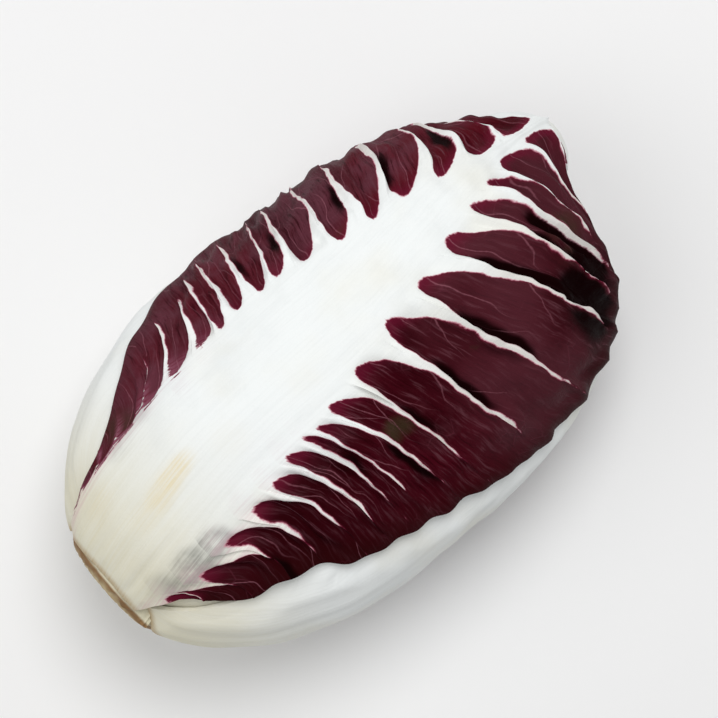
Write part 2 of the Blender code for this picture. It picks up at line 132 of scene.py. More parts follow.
def top_leaf():
    """The big outer leaf on top. Each vein is two threes, for its left and its right half.

    They are the polar angle where it leaves the rib, the degrees it climbs to the edge, and its strength.
    A crease is (side, vein, on the vein's tip side or not, depth, its start and end from the rib). A stain
    is (0 grey, 1 yellow or 2 brown, polar angle, degrees from the rib's middle, radius, strength), and a pit
    is (polar angle, degrees from the rib's middle, radius, depth). Up to the polar angles in bare, the left
    and right halves are white.
    """
    return {
        "name": "outer_leaf_top",
        "azimuth": -18,
        "twist_at_stem": 4,
        "left": (46, 40, 36, 44, 60, 76, 82, 86, 86),
        "right": (43, 43, 57, 59.5, 71, 77, 89, 108, 112),
        "rib_left": (0.0165, 0.0195, 0.0195, 0.019, 0.0195, 0.0215, 0.0165, 0.0095, 0.0012),
        "rib_right": (0.0165, 0.020, 0.0225, 0.0215, 0.019, 0.0158, 0.010, 0.007, 0.0012),
        "end": 178,
        "lean": 10,
        "lean_to": -80,
        "veins": (
            ((22, 4, 0.2), (22, 8, 0.5)),
            ((30, 5, 0.2), (29, 11, 0.6)),
            ((39, 6, 0.25), (38, 13, 0.6)),
            ((49, 12, 0.3), (49, 10, 0.7)),
            ((59.5, 9, 0.8), (58.5, 12, 0.7)),
            ((70, 8, 0.8), (67.7, 11, 0.8)),
            ((80, 3, 0.6), (76.5, 10, 0.7)),
            ((87, 2, 0.9), (81.5, 11, 0.5)),
            ((96.3, 1, 1.0), (87.5, 15, 0.9)),
            ((103.3, 5, 0.6), (101, 10, 1.05)),
            ((112.5, 2, 1.1), (117, 7.5, 1.45)),
            ((123.7, 3, 1.4), (130.3, 7.5, 1.5)),
            ((133.5, 4, 1.6), (140.5, 10, 1.6)),
            ((141.5, 8, 1.3), (150, 7, 1.15)),
            ((151.5, 8, 0.8), (155.8, 7, 1.1)),
            ((159.5, 6, 1.6), (161.5, 6, 0.6)),
            ((167.5, 4, 0.6), (169, 5, 0.55)),
        ),
        "creases": (
            (1, 13, True, 0.0026, 0.006, 0.060),
            (1, 14, True, 0.0020, 0.014, 0.050),
            (1, 15, False, 0.0020, 0.010, 0.060),
            (1, 12, True, 0.0016, 0.010, 0.050),
            (1, 12, False, 0.0006, 0.018, 0.050),
            (1, 11, True, 0.0014, 0.012, 0.050),
            (1, 9, False, 0.0012, 0.014, 0.050),
            (1, 10, True, 0.0010, 0.010, 0.040),
            (1, 7, True, 0.0010, 0.006, 0.030),
            (1, 3, True, 0.0012, 0.010, 0.040),
            (0, 16, False, 0.0014, 0.002, 0.030),
            (0, 14, True, 0.0016, 0.003, 0.030),
            (0, 13, False, 0.0014, 0.003, 0.030),
            (0, 11, False, 0.0012, 0.004, 0.030),
            (0, 9, True, 0.0010, 0.004, 0.030),
        ),
        "stains": (
            (0, 34.5, 32.2, 0.0052, 1.1),
            (0, 41.3, 30.6, 0.0048, 1.1),
            (0, 37.5, 31.5, 0.0035, 0.6),
            (0, 29.5, 35, 0.0050, 0.6),
            (0, 24, 33, 0.0050, 0.35),
            (0, 49, -29, 0.0060, 0.6),
            (0, 40, -27, 0.0050, 0.5),
            (0, 58, -30, 0.0040, 0.5),
            (1, 39.8, 1.4, 0.0050, 0.8),
            (1, 45, 0.8, 0.0045, 0.8),
            (1, 49.4, 0.3, 0.0040, 0.7),
            (1, 33, 3, 0.0060, 0.5),
            (1, 62, 6.7, 0.0100, 0.35),
            (1, 27, -22, 0.0070, 0.5),
            (2, 103.7, 42, 0.0055, 0.9),
            (2, 129.7, -21, 0.0030, 0.7),
            (2, 132.9, 43, 0.0013, 1.0),
            (2, 41.9, -31, 0.0070, 0.6),
            (2, 158, 60, 0.0060, 0.8),
        ),
        "pits": ((151.5, 72, 0.0060, 0.0013), (150.5, 81, 0.0060, 0.0018), (149, 90, 0.0060, 0.0015)),
        "bare": (0, 0),
        "gap": 0.0008,
        "wave": 0.0006,
        "grooves": 0.0001,
        "bulge": 0.0019,
        "flare": 0.0012,
        "columns": 190,
        "panel_rows": 14,
        "scallop": ((0.010, 13), (0.012, 31)),
        "seed": 3,
    }


def plain_leaf(name, azimuth, seed, end, veins, spread=(1, 1), rib=1.0, **other):
    """Any other leaf. Its veins leave the rib at even steps, a little shaken.

    spread widens its left and right half, and rib its rib.
    """
    shake = np.random.default_rng(seed)
    stations = np.linspace(28, 166, veins)
    step = stations[1] - stations[0]

    def half():
        climb = (10 + shake.uniform(-2, 2, veins)) * (1 - smoothstep(90, 170, stations))
        start = stations + shake.uniform(-0.2, 0.2, veins) * step
        return zip(start, climb, shake.uniform(0.5, 1.5, veins))

    outline = np.array(COMMON_OUTLINE)
    leaf = {
        "name": name,
        "azimuth": azimuth,
        "twist_at_stem": shake.uniform(-6, 6),
        "left": spread[0] * outline * shake.uniform(0.95, 1.05, len(outline)),
        "right": spread[1] * outline * shake.uniform(0.95, 1.05, len(outline)),
        "rib_left": rib * np.array(COMMON_RIB),
        "rib_right": rib * np.array(COMMON_RIB),
        "end": end,
        "lean": 8,
        "lean_to": azimuth + 180,
        "veins": tuple(zip(half(), half())),
        "pits": (),
        "bare": (0, 0),
        "gap": 0.0008,
        "wave": 0.0006,
        "grooves": 0.0004,
        "bulge": 0.0012,
        "flare": 0.001,
        "columns": 150,
        "panel_rows": 12,
        "scallop": ((0.02, 7), (0.015, 13)),
        "seed": seed,
    }
    leaf.update(other)
    pick = np.random.default_rng(seed + 500)
    leaf["creases"] = tuple(
        (pick.integers(2), pick.integers(3, veins), pick.integers(2), 0.0012, 0.008, 0.04)
        for _ in range(9)
    )
    leaf["stains"] = tuple(
        (pick.integers(3), pick.uniform(25, 150), pick.uniform(-50, 50), 0.005, pick.uniform(0.2, 0.6))
        for _ in range(6)
    )
    return leaf


def all_leaves():
    """Every leaf, the outermost first. Each lies inside those before it wherever they cover it."""
    middle = {"gap": 0.0014, "columns": 110, "panel_rows": 8, "veins": 9}
    inner = {"gap": 0.003, "columns": 60, "panel_rows": 6, "veins": 7, "rib": 0.8}
    beside = {"veins": 16, "rib": 1.2, "end": 170}
    return [
        top_leaf(),
        plain_leaf("outer_leaf_right", 90, 11, spread=(1, 0.84), bare=(125, 0), **beside),
        plain_leaf("outer_leaf_left", -92, 12, spread=(0.84, 1), bare=(0, 110), **beside),
        plain_leaf("outer_leaf_bottom", 180, 13, veins=15, rib=1.1, end=171, wave=0),
        plain_leaf("middle_leaf_right", 46, 21, end=174, lean=12, **middle),
        plain_leaf("middle_leaf_left", -58, 22, end=175, lean=14, **middle),
        plain_leaf("middle_leaf_low_right", 136, 23, end=173, lean=12, **middle),
        plain_leaf("middle_leaf_low_left", -140, 24, end=174, lean=13, **middle),
        plain_leaf("inner_leaf_top", 6, 31, end=174, lean=22, **inner),
        plain_leaf("inner_leaf_bottom", -172, 32, end=174, lean=20, **inner),
        plain_leaf("inner_leaf_right", 94, 33, end=172, lean=18, **inner),
        plain_leaf("inner_leaf_left", -84, 34, end=172, lean=18, **inner),
    ]


def smoothstep(low, high, value):
    t = np.clip((value - low) / (high - low), 0, 1)
    return t * t * (3 - 2 * t)


def curve_through(xs, ys, x):
    """A smooth curve through the points (xs, ys), read at x. Outside them it keeps the end values."""
    xs = np.asarray(xs, float)
    ys = np.asarray(ys, float)
    slopes = np.gradient(ys, xs)
    slopes[[0, -1]] = 0
    x = np.clip(x, xs[0], xs[-1])
    i = np.clip(np.searchsorted(xs, x, side="right") - 1, 0, len(xs) - 2)
    span = xs[i + 1] - xs[i]
    t = (x - xs[i]) / span
    rise = ys[i + 1] - ys[i]
    a = slopes[i] * span - rise
    b = rise - slopes[i + 1] * span
    return (1 - t) * ys[i] + t * ys[i + 1] + t * (1 - t) * ((1 - t) * a + t * b)


def skin_radius(way):
    """How far the head's outer skin is from its centre along the unit directions way."""
    reach = np.where(way[:, 0] > 0, TIP_REACH, STEM_REACH)
    power = np.where(way[:, 0] > 0, TIP_POWER, STEM_POWER)
    across = np.hypot(way[:, 1] / HALF_WIDTH, way[:, 2] / HALF_HEIGHT)
    egg = (np.abs(way[:, 0] / reach) ** power + across**power) ** (-1 / power)
    turn = math.radians(NOSE_LEAN)
    to_side = direction(90, NOSE_AZIMUTH) * math.sin(turn)
    off_nose = 1 - way @ (to_side + np.array([math.cos(turn), 0, 0]))
    nose = NOSE * np.exp(-off_nose / NOSE_SPREAD)
    return np.minimum(egg + nose, CENTRE_HEIGHT / np.maximum(-way[:, 2], 1e-6))


def above_flat_spot(way):
    """0 on and beside the flat spot that the head lies on, 1 away from it."""
    radius = skin_radius(way)
    return smoothstep(0.0005, FLAT_SPOT_CALM, CENTRE_HEIGHT + radius * way[:, 2])


def direction(polar, azimuth):
    """The unit vectors at these angles."""
    polar = np.radians(polar)
    azimuth = np.radians(azimuth)
    return np.stack(
        [-np.cos(polar), -np.sin(polar) * np.sin(azimuth), np.sin(polar) * np.cos(azimuth)], axis=-1
    )


def angles_of(way):
    """(polar, azimuth) of unit vectors."""
    polar = np.degrees(np.arctan2(np.hypot(way[:, 1], way[:, 2]), -way[:, 0]))
    return polar, np.degrees(np.arctan2(-way[:, 1], way[:, 2]))


def lean(leaf, way, polar, sign):
    """Turns directions so that the leaf's far end leans over the head's tip, or back with sign -1."""
    amount = sign * np.radians(leaf["lean"] * smoothstep(95, 180, polar))
    towards = math.radians(leaf["lean_to"])
    side = np.array([0, -math.sin(towards), math.cos(towards)])
    along = way @ side
    x = way[:, 0] * np.cos(amount) - along * np.sin(amount)
    turned = way[:, 0] * np.sin(amount) + along * np.cos(amount)
    out = way + (turned - along)[:, None] * side
    out[:, 0] = x
    return out


def middle_line(leaf, polar):
    """The azimuth of the leaf's rib."""
    return leaf["azimuth"] + leaf["twist_at_stem"] * (1 - smoothstep(14, 60, polar))


def half_width(leaf, polar, side):
    """Degrees of azimuth from the rib to the leaf's edge, on its left (side < 0) or right."""
    left = curve_through(OUTLINE_ANGLES, leaf["left"], polar)
    right = curve_through(OUTLINE_ANGLES, leaf["right"], polar)
    turn = np.radians(polar)
    uneven = np.zeros(np.shape(polar))
    for size, frequency in leaf["scallop"]:
        phase = leaf["seed"] * 1.7 + frequency + np.where(side < 0, 2.0, 0.0)
        uneven = uneven + size * np.sin(turn * frequency + phase)
    return np.where(side < 0, left, right) * (1 + smoothstep(18, 45, polar) * uneven)


def leaf_end(leaf, across):
    """The polar angle where the leaf ends. across is 0 on the rib and -1 or 1 at the side edges."""
    return leaf["end"] - END_ROUND * np.abs(across) ** 2


def leaf_place(leaf, way):
    """(polar, across, azimuth from the rib) of directions, in the leaf's own upright frame."""
    polar, _ = angles_of(way)
    for _ in range(3):
        upright = lean(leaf, way, polar, -1)
        polar, azimuth = angles_of(upright)
    off = (azimuth - middle_line(leaf, polar) + 180) % 360 - 180
    return polar, off / half_width(leaf, polar, off), off


def rib_half(leaf, polar, side):
    """Half the rib's width, in metres, on its left (side < 0) or right."""
    left = curve_through(OUTLINE_ANGLES, leaf["rib_left"], polar)
    return np.where(side < 0, left, curve_through(OUTLINE_ANGLES, leaf["rib_right"], polar))


def rib_share(leaf, polar, side):
    """The rib's part of the leaf's half width."""
    middle = direction(polar, np.full(np.shape(polar), leaf["azimuth"]))
    around = np.sin(np.radians(polar)) * skin_radius(middle)
    whole = np.radians(half_width(leaf, polar, side)) * around
    return np.minimum(rib_half(leaf, polar, side) / whole, 0.85)


def thickness(leaf, way, polar, off):
    """The leaf's thickness: a thin blade, and a thick rib that thins towards the tip and to its sides."""
    u = np.clip((polar - LEAF_START) / (leaf["end"] - LEAF_START), 0, 1)
    arc = np.abs(np.radians(off)) * np.sin(np.radians(polar)) * skin_radius(way)
    swell = RIB_AT_STEM * (1 - u**RIB_THINNING) + RIB_AT_TIP * u**RIB_THINNING
    return BLADE + swell * (1 - smoothstep(*RIB_SHOULDER, arc / rib_half(leaf, polar, off)))


def wave(leaf, polar, off):
    """A slow in-and-out of the whole leaf, always inwards."""
    phase = leaf["seed"] * 2.3
    swing = np.sin(np.radians(polar) * 5 + phase) * np.sin(np.radians(off) * 4 + 1.3 * phase)
    return -leaf["wave"] * smoothstep(25, 60, polar) * (1 + swing) / 2


def cover(leaf, way):
    """(1 under the leaf and 0 away from it, the depth that the leaf takes up there)."""
    polar, across, off = leaf_place(leaf, way)
    radius = skin_radius(way)
    beside = (np.abs(off) - half_width(leaf, polar, off)) * np.sin(np.radians(polar))
    beyond = polar - leaf_end(leaf, np.clip(across, -1, 1))
    out = np.radians(np.maximum(beside, beyond)) * radius
    share = 1 - smoothstep(TUCK, TUCK + RISE, out)
    kept = np.clip(off, -half_width(leaf, polar, -1), half_width(leaf, polar, 1))
    depth = thickness(leaf, way, polar, kept) + leaf["gap"] - wave(leaf, polar, kept)
    return share, share * depth


def depth_under(outer_leaves, way):
    """(depth below the skin that the outer leaves take up, how free of them each direction is)."""
    depth = np.zeros(len(way))
    free = np.ones(len(way))
    for leaf in outer_leaves:
        share, taken = cover(leaf, way)
        depth += taken
        free *= 1 - share
    return depth, free


def vein_table(leaf, side, item):
    """One item of every vein on one side, with the leaf's two ends before and after them."""
    before = (LEAF_START, 0, 0)[item]
    after = (leaf["end"], 0, 0)[item]
    return np.array([before, *(vein[side][item] for vein in leaf["veins"]), after], float)


def place_on_leaf(leaf, row, column):
    """(polar, across, azimuth from the rib) at a row, which is whole on a vein, and a column."""
    count = np.arange(len(leaf["veins"]) + 2)
    start = [np.interp(row, count, vein_table(leaf, side, 0)) for side in (0, 1)]
    climb = [np.interp(row, count, vein_table(leaf, side, 1)) for side in (0, 1)]
    beside = np.where(column < 0, *start)
    middle = (start[0] + start[1]) / 2
    share = rib_share(leaf, beside, column)
    reach = np.abs(column)
    outside = share + (reach - RIB_COLUMNS) / (1 - RIB_COLUMNS) * (1 - share)
    reach = np.where(reach < RIB_COLUMNS, reach / RIB_COLUMNS * share, outside)
    polar = middle + (beside - middle) * smoothstep(0, 1, reach / share)
    beyond = np.clip((reach - share) / (1 - share), 0, 1)
    polar = polar + np.where(column < 0, *climb) * (1 - (1 - beyond) ** VEIN_SWEEP)
    ends = len(leaf["veins"]) + 1
    polar = polar - END_ROUND * reach**2 * smoothstep(0.55 * ends, ends, row)
    across = np.sign(column) * reach
    return polar, across, across * half_width(leaf, polar, across)


def ripple(x, y, seed, wavelength, count=9):
    """A smooth irregular wave over (x, y), about -1 to 1, with bumps about one wavelength apart."""
    pick = np.random.default_rng(seed)
    total = np.zeros(np.shape(x))
    for _ in range(count):
        way = pick.uniform(0, 2 * math.pi)
        pace = 2 * math.pi / wavelength * pick.uniform(0.6, 1.5)
        total += np.sin(pace * (x * math.cos(way) + y * math.sin(way)) + pick.uniform(0, 2 * math.pi))
    return total / math.sqrt(count) / 1.4


def vein_half(strength, out, reach):
    """Half a vein's width: flared at the rib, thinner further out, below zero where it has died away."""
    taper = 1 - 0.55 * smoothstep(0, 0.05, out)
    flare = VEIN_FLARE * np.exp(-np.maximum(out, 0) / FLARE_LENGTH)
    return strength * (VEIN_HALF * taper + flare) - VEIN_FADE * smoothstep(0.7, 0.88, reach)


def wander(leaf, side, vein, out):
    """How far a vein strays from its even line, out along it."""
    phase = leaf["seed"] * 3.1 + vein * 2.7 + side * 1.9
    bends = 0.55 * np.sin(out * 210 + phase) + 0.3 * np.sin(out * 470 + 2.1 * phase)
    return VEIN_WANDER * (bends + 0.25 * np.sin(out * 950 + 3.3 * phase)) * smoothstep(0, 0.006, out)


class Blade:
    """Where each point of a leaf lies in its panel between two veins, and how far it stands out."""

    def __init__(self, leaf, row, column, way, polar, across, off):
        count = len(leaf["veins"]) + 2
        side = (across > 0).astype(int)
        radius = skin_radius(way)
        self.leaf, self.way, self.side, self.row = leaf, way, side, row
        self.panel = np.minimum(np.floor(row).astype(int), count - 2)
        low = place_on_leaf(leaf, self.panel.astype(float), column)[0]
        high = place_on_leaf(leaf, self.panel + 1.0, column)[0]
        wide = np.radians(np.maximum(high - low, 0.2)) * radius
        around = np.sin(np.radians(polar)) * radius
        edge = half_width(leaf, polar, across)
        self.along = np.radians(polar - LEAF_START) * radius
        self.aside = np.radians(off) * around
        self.rib = rib_half(leaf, polar, across)
        self.out = np.abs(self.aside) - self.rib
        self.margin = np.radians(edge - np.abs(off)) * around
        strength = np.stack([vein_table(leaf, 0, 2), vein_table(leaf, 1, 2)])
        reach = np.abs(across)
        self.low_strength = strength[side, self.panel]
        self.high_strength = strength[side, self.panel + 1]
        self.part = row - self.panel
        low_shift = wander(leaf, side, self.panel, self.out)
        high_shift = wander(leaf, side, self.panel + 1, self.out)
        low_half = vein_half(self.low_strength, self.out, reach)
        high_half = vein_half(self.high_strength, self.out, reach)
        self.from_low = self.part * wide - low_shift - low_half
        self.from_high = (1 - self.part) * wide + high_shift - high_half
        half = np.maximum((self.from_low + self.from_high) / 2, 1e-5)
        self.middle = (self.from_low - self.from_high) / 2
        ends = count - 1
        pick = np.random.default_rng(leaf["seed"] + 40)
        jitter = pick.uniform(*PANEL_JITTER, (2, count))[side, self.panel]
        tips = smoothstep(0.2, 0.55, self.low_strength)
        tips = tips * (1 - 0.8 * smoothstep(0.82 * ends, 0.94 * ends, row))
        lean_in = PANEL_SLANT * (self.middle + half) - PANEL_SHIFT * half
        start = self.out - tips * (jitter + lean_in)
        cap = 0.001 + tips * PANEL_CAP * half
        rounded = (1 - np.hypot((cap - start) / cap, self.middle / half)) * np.minimum(half, cap)
        self.inside = np.where(start < cap, rounded, half - np.abs(self.middle))
        self.inside = np.minimum(self.inside, (row - 0.6) * 0.004)
        bare = np.where(side == 0, *leaf["bare"])
        self.inside = np.minimum(self.inside, 0.003 + (polar - bare) * 0.0008)
        self.thin_veins(pick, count, half, low_shift)

    def thin_veins(self, pick, count, half, low_shift):
        """Three thin veins in each panel: one along its middle and one off each vein beside it."""
        where = self.side, self.panel
        centre = pick.uniform(-0.35, 0.35, (2, count))
        end = pick.uniform(0.002, 0.045, (2, count))
        bend = 0.0004 * np.sin(self.out * 330 + self.panel * 1.7)
        split = self.middle - centre[where] * half - 0.6 * low_shift - bend
        lines = [split]
        strengths = [1 - smoothstep(0.4, 1, self.out / end[where])]
        for gap in (self.from_low, self.from_high):
            leaves_at = pick.uniform(0.002, 0.030, (2, count))[where]
            slope = pick.uniform(0.12, 0.42, (2, count))[where]
            beyond = self.out - leaves_at
            lines.append(gap - slope * beyond * (1 - 5 * np.clip(beyond, 0, 0.05)) - bend)
            started = (1 - smoothstep(0.7, 1.2, gap / half)) * smoothstep(-0.001, 0.001, beyond)
            strengths.append(started * (1 - smoothstep(0.004, 0.026, beyond)))
        big = smoothstep(0.0016, 0.003, half)
        self.thin = np.stack(lines, axis=1)
        self.thin_strength = np.stack(strengths, axis=1) * big[:, None]

    def creases(self):
        """How deep the folds beside the veins are."""
        depth = np.zeros(len(self.out))
        for side, vein, on_tip_side, deep, near, far in self.leaf["creases"]:
            panel = vein if on_tip_side else vein - 1
            gap = self.from_low if on_tip_side else self.from_high
            here = (self.side == side) & (self.panel == panel)
            window = smoothstep(near, near + 0.012, self.out)
            window = window * (1 - smoothstep(far - 0.015, far, self.out))
            shape = np.exp(-(((gap - CREASE_OFF_VEIN) / CREASE_WIDTH) ** 2))
            shape = shape * smoothstep(-0.0012, 0.0004, gap)
            depth += np.where(here, deep * window * shape, 0)
        for polar, off, size, deep in self.leaf["pits"]:
            pit = np.exp(-((self.far_from(polar, off) / size) ** 2))
            depth += deep * pit * smoothstep(0, 0.001, self.inside)
        return depth

    def far_from(self, polar, off):
        """Distances from the spot at off degrees from the rib's middle."""
        polar = np.array([polar])
        spot = lean(self.leaf, direction(polar, middle_line(self.leaf, polar) + off), polar, 1)
        return np.linalg.norm(self.way - spot, axis=1) * MEAN_RADIUS

    def stains(self):
        """How grey, yellow and brown the leaf is stained."""
        total = np.zeros((len(self.out), 3))
        for kind, polar, off, size, strength in self.leaf["stains"]:
            far = self.far_from(polar, off)
            total[:, kind] += strength * (1 - smoothstep(0.2 * size, 1.6 * size, far))
        return np.minimum(total, 1.2)

    def stands_out(self, free):
        """The height of the ribs, veins, panels, creases and ruffles over the plain leaf."""
        leaf = self.leaf
        raised = 1 - smoothstep(-0.0003, 0.0009, self.inside)
        nearest = np.where(self.part < 0.5, self.low_strength, self.high_strength)
        stout = (0.55 + 0.4 * np.minimum(nearest, 2)) * (1 - 0.75 * smoothstep(*VEINS_LOWER, self.out))
        on_rib = 1 - smoothstep(-0.002, 0.004, self.out)
        height = VEIN_HEIGHT * raised * (on_rib + (1 - on_rib) * stout)
        camber = 1 - smoothstep(0, 1, np.abs(self.aside) / self.rib)
        height += RIB_CAMBER * camber * smoothstep(0.5, 2, self.row)
        base = (1 - smoothstep(0.010, 0.034, self.along)) * smoothstep(0.0015, 0.006, self.along)
        height += BASE_FIBRES * base * ripple(self.along * 0.12, self.aside, leaf["seed"] + 73, 0.0045)
        grooves = ripple(self.along * 0.06, self.aside, leaf["seed"] + 75, 0.006)
        height += leaf["grooves"] * grooves * raised * smoothstep(0.006, 0.03, self.along)
        blade = smoothstep(-0.001, 0.006, self.out) * smoothstep(0.5, 1.5, self.row)
        pick = np.random.default_rng(leaf["seed"] + 60)
        shake = pick.uniform(0.35, 1.0, (2, len(leaf["veins"]) + 2))
        tilt = pick.uniform(-0.7, 0.7, (2, len(leaf["veins"]) + 2))
        where = self.side, self.panel
        arch = np.sin(np.pi * self.part)
        sunk = leaf["bulge"] * shake[where] * arch**1.4
        sunk -= leaf["bulge"] * tilt[where] * np.sin(2 * np.pi * self.part) * arch
        across = self.middle + (self.panel * 0.017 + self.side * 0.4)
        for size, stretch, seed, length in PANEL_RIPPLES:
            sunk += size * ripple(self.out * stretch, across, leaf["seed"] + seed, length)
        height -= blade * (sunk + self.creases()) * smoothstep(-0.0005, MARGIN_CALM, self.margin)
        height += SLOW_RIPPLE * ripple(self.along, self.aside, leaf["seed"] + 71, 0.02)
        edge = 1 - smoothstep(0, RUFFLE_WIDTH, self.margin)
        swing = ripple(self.along, self.side * 0.3, leaf["seed"] + 72, 0.017, 5)
        height += leaf["flare"] * edge * (0.6 + 0.8 * swing) * smoothstep(1, 3, self.row)
        return height * (HIDDEN_RELIEF + (1 - HIDDEN_RELIEF) * free)


def settle(way, radius, covers):
    """Lowers points until they clear the shells that lie over them."""
    radius = radius.copy()
    for index, spot in enumerate(way):
        for tree in covers:
            reach = tree.ray_cast(CENTRE, Vector(spot), RAY)[3]
            if reach is not None:
                radius[index] = min(radius[index], reach - CLEARANCE)
    return radius


def leaf_rows(leaf):
    """The rows of the leaf's grid, closer together at the veins."""
    panels = len(leaf["veins"]) + 1
    even = np.linspace(0, panels, panels * leaf["panel_rows"] + 1)
    return even - 0.6 * np.sin(2 * np.pi * even) / (2 * np.pi)


def leaf_columns(leaf):
    """The columns of the leaf's grid, wider apart on its rib."""
    across = round(leaf["columns"] * RIB_SHARE_OF_COLUMNS / 2) * 2
    beside = (leaf["columns"] - across) // 2
    blade = np.linspace(RIB_COLUMNS, 1, beside + 1)[1:]
    return np.concatenate([-blade[::-1], np.linspace(-RIB_COLUMNS, RIB_COLUMNS, across + 1), blade])


def write_values(mesh, values):
    """Keeps numbers on the mesh's points, for its material to read."""
    for label, value in values.items():
        kind, key = ("FLOAT_VECTOR", "vector") if value.ndim == 2 else ("FLOAT", "value")
        layer = mesh.attributes.new(label, kind, "POINT")
        layer.data.foreach_set(key, value.astype(np.float32).ravel())


def add_object(name, data):
    piece = bpy.data.objects.new(name, data)
    bpy.context.scene.collection.objects.link(piece)
    return piece


def shell_mesh(name, rows, columns, faces, values):
    """A closed shell from a grid, whose two faces pass through the points in faces."""
    sheet = bmesh.new()
    bmesh.ops.create_grid(sheet, x_segments=columns - 1, y_segments=rows - 1, size=1)
    far_side = bmesh.ops.extrude_face_region(sheet, geom=sheet.faces[:], use_keep_orig=True)
    for item in far_side["geom"]:
        if isinstance(item, bmesh.types.BMVert):
            item.co.z = 1
    mesh = bpy.data.meshes.new(name)
    sheet.to_mesh(mesh)
    sheet.free()
    flat = np.empty(len(mesh.vertices) * 3, np.float32)
    mesh.vertices.foreach_get("co", flat)
    flat = flat.reshape(-1, 3)
    i = np.rint((flat[:, 1] + 1) / 2 * (rows - 1)).astype(int)
    j = np.rint((flat[:, 0] + 1) / 2 * (columns - 1)).astype(int)
    far = np.rint(flat[:, 2]).astype(int)
    spot = i * columns + j
    mesh.vertices.foreach_set("co", faces[far, spot].astype(np.float32).ravel())
    write_values(mesh, {label: value[spot] for label, value in values.items()})
    mesh.update()
    face_outwards(mesh)
    mesh.shade_smooth()
    mesh.set_sharp_from_angle(angle=math.radians(SHARP_ON_LEAF))
    return mesh


def face_outwards(mesh):
    shape = bmesh.new()
    shape.from_mesh(mesh)
    if shape.calc_volume(signed=True) < 0:
        bmesh.ops.reverse_faces(shape, faces=shape.faces[:])
        shape.to_mesh(mesh)
    shape.free()


def tree_of(mesh):
    corners = [vertex.co for vertex in mesh.vertices]
    return BVHTree.FromPolygons(corners, [face.vertices for face in mesh.polygons])


def make_leaf(leaf, outer_leaves, covers):
    rows = leaf_rows(leaf)
    columns = leaf_columns(leaf)
    row, column = (grid.ravel() for grid in np.meshgrid(rows, columns, indexing="ij"))
    polar, across, off = place_on_leaf(leaf, row, column)
    way = lean(leaf, direction(polar, middle_line(leaf, polar) + off), polar, 1)
    depth, free = depth_under(outer_leaves, way)
    blade = Blade(leaf, row, column, way, polar, across, off)
    lively = above_flat_spot(way)
    radius = skin_radius(way) - depth + lively * (wave(leaf, polar, off) + blade.stands_out(free))
    radius = settle(way, radius, covers)
    thick = thickness(leaf, way, polar, off)
    faces = np.stack([way * radius[:, None], way * (radius - thick)[:, None]]) + np.array(CENTRE)
    values = {
        "blade": blade.inside * MM,
        "vein_way": np.stack([blade.out, blade.middle, blade.creases()], axis=1) * MM,
        "stain": blade.stains(),
        "thin": blade.thin * MM,
        "thin_strength": blade.thin_strength,
        "leaf_way": np.stack([blade.along, blade.aside, blade.margin], axis=1) * MM,
    }
    mesh = shell_mesh(leaf["name"], len(rows), len(columns), faces, values)
    return add_object(leaf["name"] + "_skin", mesh)


def as_node(piece, node, finish):
    piece.data.materials.append(finish)
    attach(piece, "root")
    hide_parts(node)


def make_heart(leaves, covers):
    """The tight bud in the middle: everything left inside the leaves, with folds running to its tip."""
    ball = bmesh.new()
    bmesh.ops.create_uvsphere(ball, u_segments=72, v_segments=60, radius=1)
    way = np.array([(vertex.co.z, vertex.co.y, vertex.co.x) for vertex in ball.verts])
    polar, azimuth = angles_of(way)
    fold = np.abs(np.sin(np.radians(azimuth * (HEART_FOLDS / 2) + polar * 0.8)))
    depth, _ = depth_under(leaves, way)
    folds = HEART_FOLD_DEPTH * fold * np.sin(np.radians(polar))
    radius = settle(way, skin_radius(way) - depth - HEART_GAP - folds, covers)
    for vertex, spot in zip(ball.verts, way * radius[:, None] + np.array(CENTRE)):
        vertex.co = spot
    mesh = bpy.data.meshes.new("heart_skin")
    ball.to_mesh(mesh)
    ball.free()
    face_outwards(mesh)
    mesh.shade_smooth()

    # It shows no veins: all of it is well inside the purple
    values = {
        "blade": np.full(len(way), 3.0),
        "vein_way": way * 30,
        "stain": way * 0,
        "thin": way * 50,
        "thin_strength": way * 0,
        "leaf_way": np.stack([polar, azimuth, np.full(len(way), 20.0)], axis=1),
    }
    write_values(mesh, values)
    return add_object("heart_skin", mesh)


